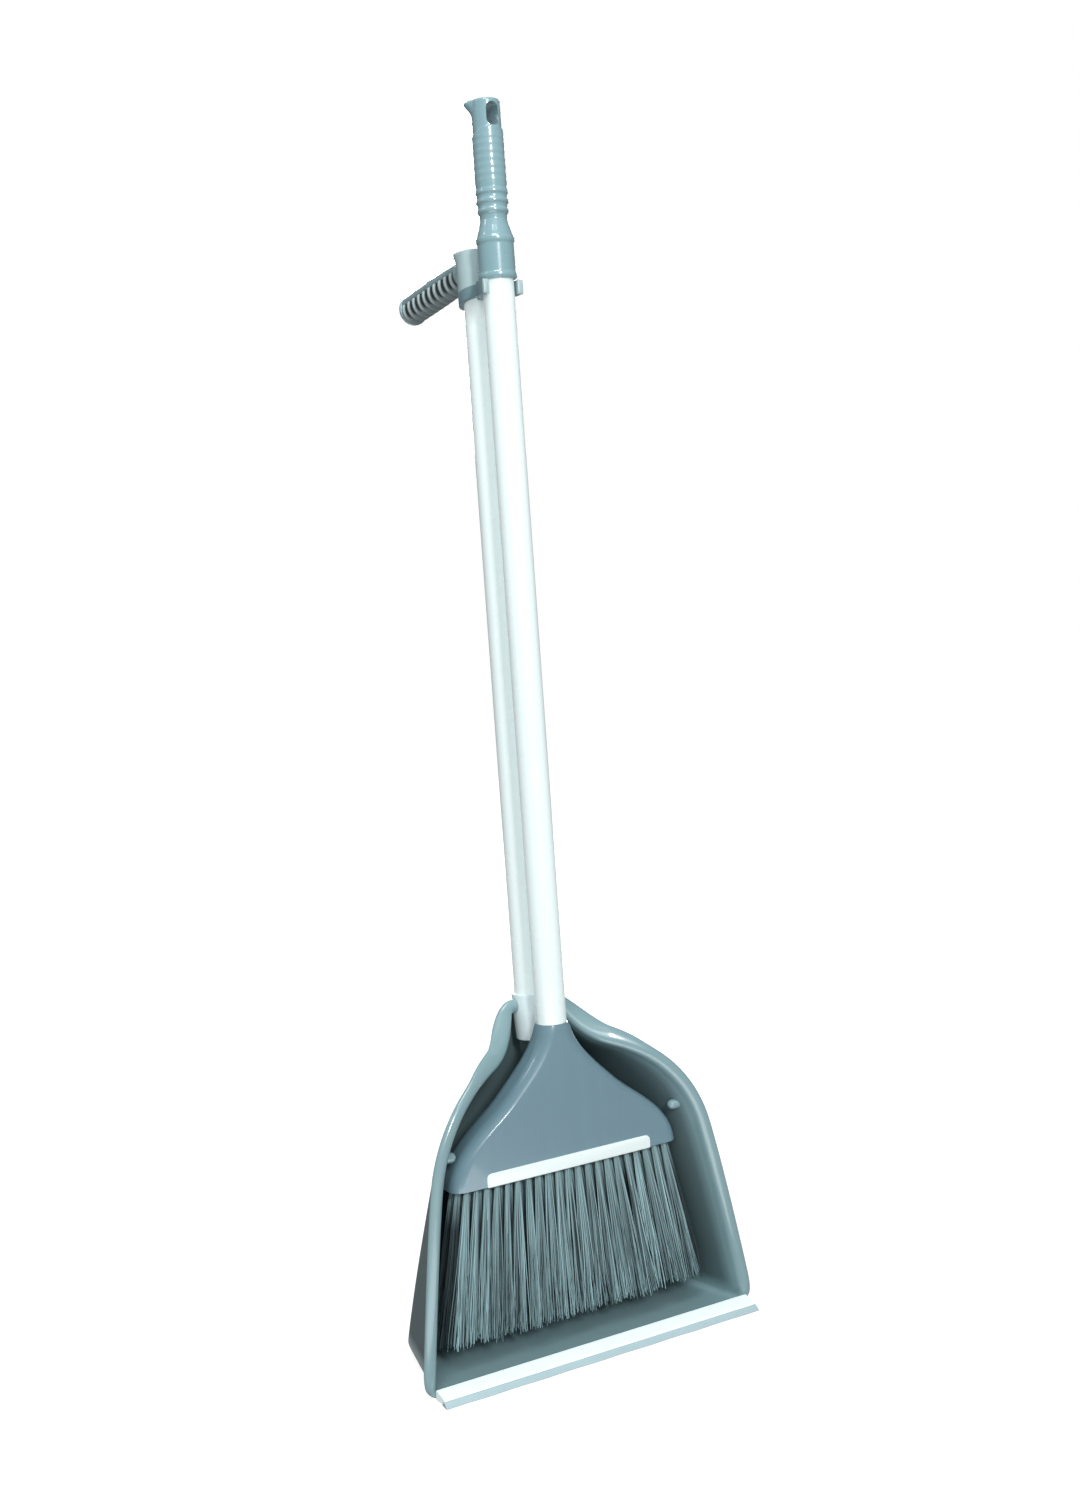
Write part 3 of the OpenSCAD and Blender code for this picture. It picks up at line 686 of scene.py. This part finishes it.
# The four pieces are surfaces in the grip's own coordinates, each a radius against distance and angle.
def buildCane():
    c = cane
    first, last = c["sleeveStart"], c["sleeveStart"] + c["length"]
    # Sleeve: radius = base + rib height, a flattened raised cosine along s that leans with the
    # angle, so each rib is a slanted ring; under the spine the ribs fade out.
    s = np.concatenate([[first, first], np.linspace(first, last, 221), [last, last]])[:, None]
    a = np.linspace(0, twoPi, 120, endpoint=False)[None, :]
    under = smoothStep(0.36, 0.22, np.sin(a))
    lean = c["ribLean"] * (1 - np.sin(a)) * 0.5
    wave = 0.5 - 0.5 * np.cos(twoPi * (s - first - lean) / (c["length"] / c["ribs"]))
    rib = smoothStep(0.5, 0.92, wave) * under
    radius = (c["radius"] - c["ribDepth"] + c["ribDepth"] * rib) * caneSwell(s)
    radius[[0, -1]] *= 0.6
    sleeve = gridPiece("caneSleeve", [caneGrid(s, radius, a)])
    faceOutwards(sleeve)
    # Crest tone, painted light and shade: 1 on the crests, 0 in the grooves; on the underside it is held at
    # belowTone for crest and groove alike.
    below = smoothStep(-0.5, -0.95, np.sin(a))
    crest = (rib + (c["belowTone"] - rib) * below).ravel()
    layer = sleeve.data.attributes.new("crest", "FLOAT", "POINT")
    layer.data.foreach_set("value", np.concatenate([crest, [0, 0]]).astype(np.float32))
    finishPiece(sleeve, "pan", ["pan_grip_sleeve"], gripRubber, 60)
    # Spine: an arc over the top with rounded edges and a low bump half way; root: a turned flange.
    half = math.radians(c["spineHalf"])
    arc = np.linspace(-half, half, 29)
    top = c["radius"] + c["spineLift"] - 1.6 * np.abs(arc / half) ** 8
    ringA = np.concatenate([math.pi / 2 + arc, math.pi / 2 + arc[::-1]])
    ringR = np.concatenate([top, np.full(len(arc), c["coreRadius"] + 1.5)])
    run = np.concatenate([[first, first + 0.4, first + 1.4], np.linspace(first + 4, last - 4, 45),
                          [last - 1.4, last - 0.4, last]])
    shrink = np.ones(len(run))
    shrink[[0, -1]], shrink[[1, -2]] = 0.95, 0.985
    bump = 0.5 * np.exp(-((run - first - 0.5 * c["length"]) / 3.5) ** 2)
    spine = caneGrid(run[:, None], ringR * (shrink * caneSwell(run))[:, None] + bump[:, None], ringA[None, :])
    rootR = c["radius"] * c["rootShare"]
    rootLine = roundedLine([(0.3, c["rootStart"]), (rootR - 0.6, c["rootStart"]), (rootR - 0.6, first - 3.4),
                            (rootR + 0.7, first - 2.8), (rootR + 0.7, first), (0.3, first)], 0.8)
    root = caneGrid(rootLine[:, 1:2], rootLine[:, 0:1], a)
    core = gridPiece("caneSpine", [spine])
    flange = gridPiece("caneRoot", [root])
    for part, nodes in ((core, ["pan_grip_core"]), (flange, ["pan_grip_core"])):
        faceOutwards(part)
        finishPiece(part, "pan", nodes, canePlastic)
    # End cap: a turned dome with a rim.
    capLine = roundedLine([(0.3, last), (c["radius"] + 0.5, last), (c["radius"] + 0.6, last + 2.2),
                           (c["radius"] - 0.6, last + 5.2), (c["radius"] - 4.5, last + 8.2),
                           (0.3, last + 9.3)], 2.0, 5)
    cap = gridPiece("caneEndCap", [caneGrid(capLine[:, 1:2], capLine[:, 0:1], a)])
    faceOutwards(cap)
    finishPiece(cap, "pan", ["pan_grip_end_cap"], canePlastic)


buildCane()

# Broom grip

broomGrip = {
    "bottom": 820.4, "top": 952, "shaftStep": (927.5, 4.5), "ripple": 0.09, "rippleLength": 5.4,
    "flareFrom": 938, "flareWidth": 6.0, "holeCentre": 940.5, "holeWidth": 10, "holeHeight": 17.5,
    # radius and height down the outside, from the sleeve's foot to the crown
    "outside": [(14.0, 820.4), (14.5, 821.2), (14.8, 822.6), (14.6, 824.4), (14.0, 825.6), (14.0, 846.4),
                (14.7, 848.2), (14.7, 850.4), (13.9, 852.0), (13.2, 854.5), (11.4, 860), (10.3, 864.5),
                (10.5, 868), (11.9, 870), (11.9, 871.6), (11.2, 873.2), (11.3, 875.6), (12.3, 877.2), (12.2, 878.6),
                (11.5, 880.4), (11.5, 882.4), (12.4, 884), (12.2, 885.8), (11.7, 887.4), (12.0, 893), (11.9, 932)],
}


# Radius against height and angle: the turned outline, a sine ripple along the shaft, a step down in
# front of and behind the hanging hole whose height follows the sine of the angle, and a crown that
# flares only on its back half.
def buildBroomGrip():
    g = broomGrip
    outside = np.array(g["outside"], float)
    z = np.concatenate([roundedLine(outside, 0.7, 3)[:, 1], np.linspace(893, 950.6, 90)])
    z = np.unique(np.round(z, 3))[:, None]
    r = np.interp(z, outside[:, 1], outside[:, 0])
    a = np.linspace(0, twoPi, 128, endpoint=False)[None, :]
    onShaft = smoothStep(888, 893, z) * smoothStep(930, 924, z)
    r = r + g["ripple"] * np.sin(twoPi * z / g["rippleLength"]) * onShaft
    stepAt = g["shaftStep"][0] - g["shaftStep"][1] * np.sin(a)
    r = r - 0.9 * smoothStep(stepAt - 0.5, stepAt + 0.5, z)
    back = smoothStep(-0.15, 0.6, np.sin(a))
    r = r + g["flareWidth"] * back * smoothStep(g["flareFrom"], g["top"], z) ** 1.7
    grid = np.stack([r * np.cos(a), broomY + r * np.sin(a), z + 0 * a], axis=-1)
    middle = np.array([0, broomY, 0])
    foot = [np.concatenate([(grid[0][:, :2] - middle[:2]) * k + middle[:2],
                            np.full((grid.shape[1], 1), h)], axis=1)
            for k, h in ((0.861, 850), (0.861, g["bottom"]))]
    crown = [np.concatenate([(grid[-1][:, :2] - middle[:2]) * k + middle[:2],
                             np.full((grid.shape[1], 1), h)], axis=1)
             for k, h in ((0.975, 951.5), (0.92, 952), (0.5, 951.8))]
    piece = gridPiece("broomGripHandle", [np.concatenate([np.stack(foot), grid, np.stack(crown)])])
    faceOutwards(piece)
    # Hanging hole: an oval prism through the grip, from front to back.
    b = np.linspace(0, twoPi, 48, endpoint=False)
    straight = (g["holeHeight"] - g["holeWidth"]) / 2
    ovalX = g["holeWidth"] / 2 * np.cos(b)
    ovalZ = g["holeCentre"] + g["holeWidth"] / 2 * np.sin(b) + straight * np.sign(np.sin(b))
    flareOut = np.array([1.25, 1.0, 1.0, 1.25])[:, None]
    depths = np.array([-30, -11.2, 11.2, 30])[:, None]
    holeZ = g["holeCentre"] + (ovalZ - g["holeCentre"]) * (0.5 + 0.5 * flareOut)
    hole = gridPiece("oval", [np.stack([ovalX * flareOut, broomY + depths + 0 * ovalX, holeZ], axis=-1)])
    faceOutwards(hole)
    cutAway(piece, hole)
    finishPiece(piece, "broom", ["broom_grip"], gripPlastic, 40)


buildBroomGrip()

# Broom head

head = {
    "bottom": 139, "top": 251, "halfDepth": 15, "neckRadius": 13, "wall": 2.2, "cornerRadius": 11,
    "neckCurve": [(13, 251), (15, 232), (33, 216), (49, 200)],
    "sideCurve": [(49, 200), (66, 183), (99, 168), (101, 139)],
    "rowsNeck": 16, "rowsSide": 30, "cornerSteps": 14, "flatSteps": 12,
}


# Half depth of the head at height z: constant below, easing by a square to the neck's radius.
def headHalfDepth(z):
    share = np.clip((z - 205) / (head["top"] - 205), 0, None)
    return head["halfDepth"] - (head["halfDepth"] - head["neckRadius"]) * share ** 2


# Rounded rectangles of half width a and half depth b, one for each row: four quarter circles joined
# by straight runs.
def headRings(a, b, z):
    r = np.minimum(head["cornerRadius"], np.minimum(a, b) - 0.2)[:, None]
    a, b, z = a[:, None], b[:, None], z[:, None]
    quarter = np.linspace(0, math.pi / 2, head["cornerSteps"])[None, :]
    run = np.linspace(0, 1, head["flatSteps"] + 2)[None, 1:-1]
    parts = []
    for k, (sx, sy) in enumerate(((1, 1), (-1, 1), (-1, -1), (1, -1))):
        angle = quarter + k * math.pi / 2
        parts.append(np.stack([sx * (a - r) + r * np.cos(angle), sy * (b - r) + r * np.sin(angle)], axis=-1))
        start = parts[-1][:, -1:]
        nx, ny = ((-1, 1), (-1, -1), (1, -1), (1, 1))[k]
        last = angle[:, -1:]
        finish = np.stack([nx * (a - r) + r * np.cos(last), ny * (b - r) + r * np.sin(last)], axis=-1)
        parts.append(start + (finish - start) * run[..., None])
    ring = np.concatenate(parts, axis=1)
    height = np.broadcast_to(z[..., None], ring[..., :1].shape)
    return np.concatenate([ring[..., :1], broomY + ring[..., 1:], height], axis=-1)


# Rings follow the two cubics of the half width down the outside, turn round the rim and go back up
# the inside, one wall thickness in.
def buildHead():
    h = head
    bell = np.concatenate([cubic(h["neckCurve"], np.arange(h["rowsNeck"]) / h["rowsNeck"]),
                           cubic(h["sideCurve"], np.linspace(0, 1, h["rowsSide"] + 1))])
    a, z = bell[:, 0], bell[:, 1]
    b = headHalfDepth(z)
    outer = headRings(a, b, z)
    topRings = headRings(np.array([9.2, 9.2, 12.4]), np.array([9.2, 9.2, 12.4]), np.array([229, 251.0, 251.0]))
    rimRings = headRings(a[-1:] - np.array([0.8, h["wall"] - 0.6]), b[-1:] - np.array([0.8, h["wall"] - 0.6]),
                         np.array([h["bottom"] - 0.3, h["bottom"] - 0.3]))
    inside = z < 222
    inner = headRings((a - h["wall"])[inside][::-1], (b - h["wall"])[inside][::-1], z[inside][::-1])
    piece = gridPiece("broomHead", [np.concatenate([topRings, outer[1:], rimRings, inner])])
    faceOutwards(piece)
    finishPiece(piece, "broom", ["broom_head"], headPlastic, 40)


buildHead()

strip = {"halfWidth": 73, "height": 10.5, "thickness": 1.5, "upperRadius": 5, "lowerRadius": 1.2}


# Outline with two large upper corners and two small lower ones, carried forward and drawn in at the
# front in three steps for a soft edge.
def buildStrip():
    s = strip
    w, h = s["halfWidth"], s["height"]
    outline = roundedLine([(-w, 0), (w, 0), (w, h), (-w, h)],
                          [s["lowerRadius"], s["lowerRadius"], s["upperRadius"] * 1.2, s["upperRadius"] * 1.2],
                          10, closed=True)
    centre = np.array([0, h / 2])
    face = head["halfDepth"]
    rows = []
    for inset, depth in ((0, -0.6), (0, s["thickness"] - 0.6), (0.2, s["thickness"] - 0.2), (0.7, s["thickness"])):
        size = np.array([1 - inset / w, 1 - 2 * inset / h])
        p = centre + (outline - centre) * size
        rows.append(np.stack([p[:, 0], np.full(len(p), broomY - face - depth),
                              head["bottom"] - 0.4 + p[:, 1]], axis=1))
    piece = gridPiece("edgeStrip", [np.stack(rows)])
    faceOutwards(piece)
    finishPiece(piece, "broom", ["edge_strip"], stripPlastic, 50)


buildStrip()

# Bristles

bristles = {
    "tufts": 22, "tuftPitch": 8.8, "rowPitch": 4.7, "rootZ": 141.5, "tipZ": 21.0,
    "spreadX": 1.22, "spreadY": 1.5, "rootRadius": 1.8, "tipRadius": 5.6,
    "filaments": 40, "thickness": 0.33, "stations": 10, "sides": 4, "tipScatter": 3.2, "wave": 1.9,
    "innerShade": 0.8,
}


# One row of tufts. A filament starts at a random place in its tuft's hole and ends at the matching
# place, scaled up, at the tips. Point at share s: straight line + side bow s(1-s) + a sway that
# grows with s; a four-sided tube goes round it and thins to the cube of s.
def buildBristleRow(row, seed):
    b = bristles
    draw = np.random.default_rng(seed)
    count = b["tufts"] - (1 if row % 2 == 1 else 0)
    tuftX = (np.arange(count) - (count - 1) / 2) * b["tuftPitch"]
    rowOffset = (row - 3) * b["rowPitch"]
    n = count * b["filaments"]
    tuft = np.repeat(np.arange(count), b["filaments"])
    radius = np.sqrt(draw.random(n))
    angle = draw.random(n) * twoPi
    disc = np.stack([radius * np.cos(angle), radius * np.sin(angle)], axis=1)
    root = np.stack([tuftX[tuft], np.full(n, broomY + rowOffset)], axis=1) + disc * b["rootRadius"]
    lean = draw.normal(0, 1.2, (count, 2))[tuft]
    tip = np.stack([tuftX[tuft] * b["spreadX"], np.full(n, broomY + rowOffset * b["spreadY"])], axis=1)
    tip = tip + disc * b["tipRadius"] + lean + draw.normal(0, 1.5, (n, 2)) * np.array([1, 0.6])
    tipZ = b["tipZ"] + np.abs(draw.normal(0, b["tipScatter"], n)) + draw.normal(0, 0.8, count)[tuft]
    bow = draw.normal(0, 2.2, (n, 2))
    phase = draw.random(n) * twoPi
    s = np.linspace(0, 1, b["stations"])[None, :, None]
    flat = root[:, None] + (tip - root)[:, None] * s + bow[:, None] * s * (1 - s)
    start = phase[:, None, None]
    sway = s ** 1.5 * np.sin(start + 5 * s) + 0.6 * s ** 4 * np.sin(start * 3 + 9 * s)
    flat = flat + b["wave"] * sway * np.array([0.8, 0.4])
    z = b["rootZ"] + (tipZ[:, None, None] - b["rootZ"]) * s
    path = np.concatenate([flat, z], axis=-1)
    thick = b["thickness"] * (1.0 - 0.4 * s[..., 0] ** 3) * (0.7 + 0.6 * draw.random(n))[:, None]
    turn = np.linspace(0, twoPi, b["sides"], endpoint=False)
    ring = np.stack([np.cos(turn), np.sin(turn), 0 * turn], axis=1)
    points = path[:, :, None] + thick[:, :, None, None] * ring[None, None]
    # Faces: every strand is the same small grid of quads plus one quad at each end.
    st, sd = b["stations"], b["sides"]
    i, j = np.arange(st - 1)[:, None], np.arange(sd)[None, :]
    cell = np.stack([i * sd + j, (i + 1) * sd + j, (i + 1) * sd + (j + 1) % sd, i * sd + (j + 1) % sd],
                    axis=-1)
    ends = np.array([np.arange(sd), (st - 1) * sd + np.arange(sd)[::-1]])
    faces = np.concatenate([cell.reshape(-1, 4), ends])
    quads = (faces[None] + (np.arange(n) * st * sd)[:, None, None]).reshape(-1, 4)
    piece = meshPiece(f"bristleRow{row}", points.reshape(-1, 3) * mm, [quads], [])
    tone = 0.85 * draw.random(n) ** 1.1 + 0.2 * draw.random(count)[tuft] + b["innerShade"] * (row > 1)
    for name, values in (("tone", np.repeat(tone, st * sd)),
                         ("along", np.tile(np.repeat(np.linspace(0, 1, st), sd), n))):
        layer = piece.data.attributes.new(name, "FLOAT", "POINT")
        layer.data.foreach_set("value", values.astype(np.float32))
    finishPiece(piece, "broom", [f"tuft_row_{row}"], bristleFibre, 80)


for row in range(1, 6):
    buildBristleRow(row, 40 + row)

# CAD nodes that stay, with their own finish

for node, material, slotName in (("bristle_block", innerPlastic, "inner_plastic"),
                                 ("thread_plug", innerPlastic, "inner_plastic"),
                                 ("tube_top_plug", innerPlastic, "inner_plastic"),
                                 ("tuft_staples", innerPlastic, "staple_wire")):
    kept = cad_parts[node]
    kept.data.materials.clear()
    kept.data.materials.append(material)

# Floor, light and camera

studio = {
    "world": 0.2, "floorGlow": (0.86, 1.0), "floorBounce": 0.12, "floorReach": 6.0, "floorBack": 4.0,
    # name, place, aim, width and height, power, lights surfaces, shines in them
    "boxes": [("keyBox", (-0.4, -2.75, 1.85), (0, 0, 0.42), (0.4, 0.8), 56, True, True),
              ("fillBox", (-1.55, -2.0, 1.3), (0, 0, 0.5), (0.8, 1.0), 16, True, False),
              ("leftStrip", (-1.93, 0.55, 2.1), (0, 0, 0.5), (0.25, 0.5), 4, True, True),
              ("topBox", (-0.4, -0.9, 2.6), (0, 0, 0.2), (0.9, 0.9), 22, True, True),
              ("backBox", (1.1, 2.4, 1.6), (0, 0, 0.4), (1.0, 1.4), 48, True, True),
              ("lowCard", (-0.25, -0.42, 0.012), (-0.25, -0.42, 1), (0.7, 0.5), 3.0, False, True)],
}


# A flat floor that glows fully to the camera and by the bounce share to every other ray.
def buildStage():
    r = studio["floorReach"]
    verts = np.array([(-r, -r, 0), (r, -r, 0), (r, studio["floorBack"], 0), (-r, studio["floorBack"], 0)])
    faces = [(0, 1, 2, 3)]
    mesh = bpy.data.meshes.new("floor")
    mesh.from_pydata(verts.tolist(), [], faces)
    floor = bpy.data.objects.new("floor", mesh)
    bpy.context.collection.objects.link(floor)
    material, tree, shader = startMaterial("paleFloor")
    shader.inputs["Base Color"].default_value = (0.3, 0.305, 0.305, 1)
    shader.inputs["Roughness"].default_value = 0.85
    shader.inputs["Specular IOR Level"].default_value = 0.1
    shader.inputs["Emission Color"].default_value = (1, 1, 1, 1)
    away = tree.nodes.new("ShaderNodeVectorMath")
    away.operation = "LENGTH"
    tree.links.new(tree.nodes.new("ShaderNodeTexCoord").outputs["Object"], away.inputs[0])
    seen = tree.nodes.new("ShaderNodeLightPath").outputs["Is Camera Ray"]
    share = spread(tree, seen, 0, 1, studio["floorBounce"], 1.0)
    glow = spread(tree, away.outputs["Value"], 0.25, 1.3, *studio["floorGlow"])
    glow = joined(tree, "MULTIPLY", glow, share)
    tree.links.new(glow, shader.inputs["Emission Strength"])
    mesh.materials.append(material)


# A rectangular lamp aimed at a point, hidden from the camera.
def softBox(name, place, aim, size, power, lit, shining):
    data = bpy.data.lights.new(name, "AREA")
    data.shape = "RECTANGLE"
    data.size, data.size_y = size
    data.energy = power
    lamp = bpy.data.objects.new(name, data)
    bpy.context.collection.objects.link(lamp)
    lamp.location = place
    lamp.visible_camera = False
    lamp.visible_diffuse = lit
    lamp.visible_glossy = shining
    lamp.rotation_euler = (Vector(aim) - Vector(place)).to_track_quat("-Z", "Y").to_euler()


# The background is white to the camera and weaker as a light, so shaded sides stay dark.
def buildLight():
    world = bpy.data.worlds.new("softWhite")
    bpy.context.scene.world = world
    world.use_nodes = True
    tree = world.node_tree
    sky = tree.nodes["Background"]
    sky.inputs["Color"].default_value = (1, 1, 1, 1)
    seen = tree.nodes.new("ShaderNodeLightPath").outputs["Is Camera Ray"]
    tree.links.new(spread(tree, seen, 0, 1, studio["world"], 1.0), sky.inputs["Strength"])
    for box in studio["boxes"]:
        softBox(*box)


camera = {"place": (-0.6173, -1.1827, 0.5741), "azimuth": -28.5, "elevation": 4.76, "roll": -4.10,
          "lens": 40.88, "sensor": 36}


# The camera looks against back = (sin az cos el, -cos az cos el, sin el); right and up are then
# turned about it by the roll.
def buildCamera():
    az, el, roll = (math.radians(camera[k]) for k in ("azimuth", "elevation", "roll"))
    back = np.array([math.sin(az) * math.cos(el), -math.cos(az) * math.cos(el), math.sin(el)])
    right = np.array([math.cos(az), math.sin(az), 0])
    up = np.cross(back, right)
    right, up = (math.cos(roll) * right + math.sin(roll) * up, math.cos(roll) * up - math.sin(roll) * right)
    data = bpy.data.cameras.new("camera")
    data.lens, data.sensor_width, data.sensor_fit = camera["lens"], camera["sensor"], "AUTO"
    eye = bpy.data.objects.new("camera", data)
    bpy.context.collection.objects.link(eye)
    turn = Matrix(np.stack([right, up, back], axis=1).tolist()).to_4x4()
    eye.matrix_world = Matrix.Translation(camera["place"]) @ turn
    bpy.context.scene.camera = eye


buildStage()
buildLight()
buildCamera()
bpy.context.scene.view_settings.view_transform = "Standard"
print("stage ready")
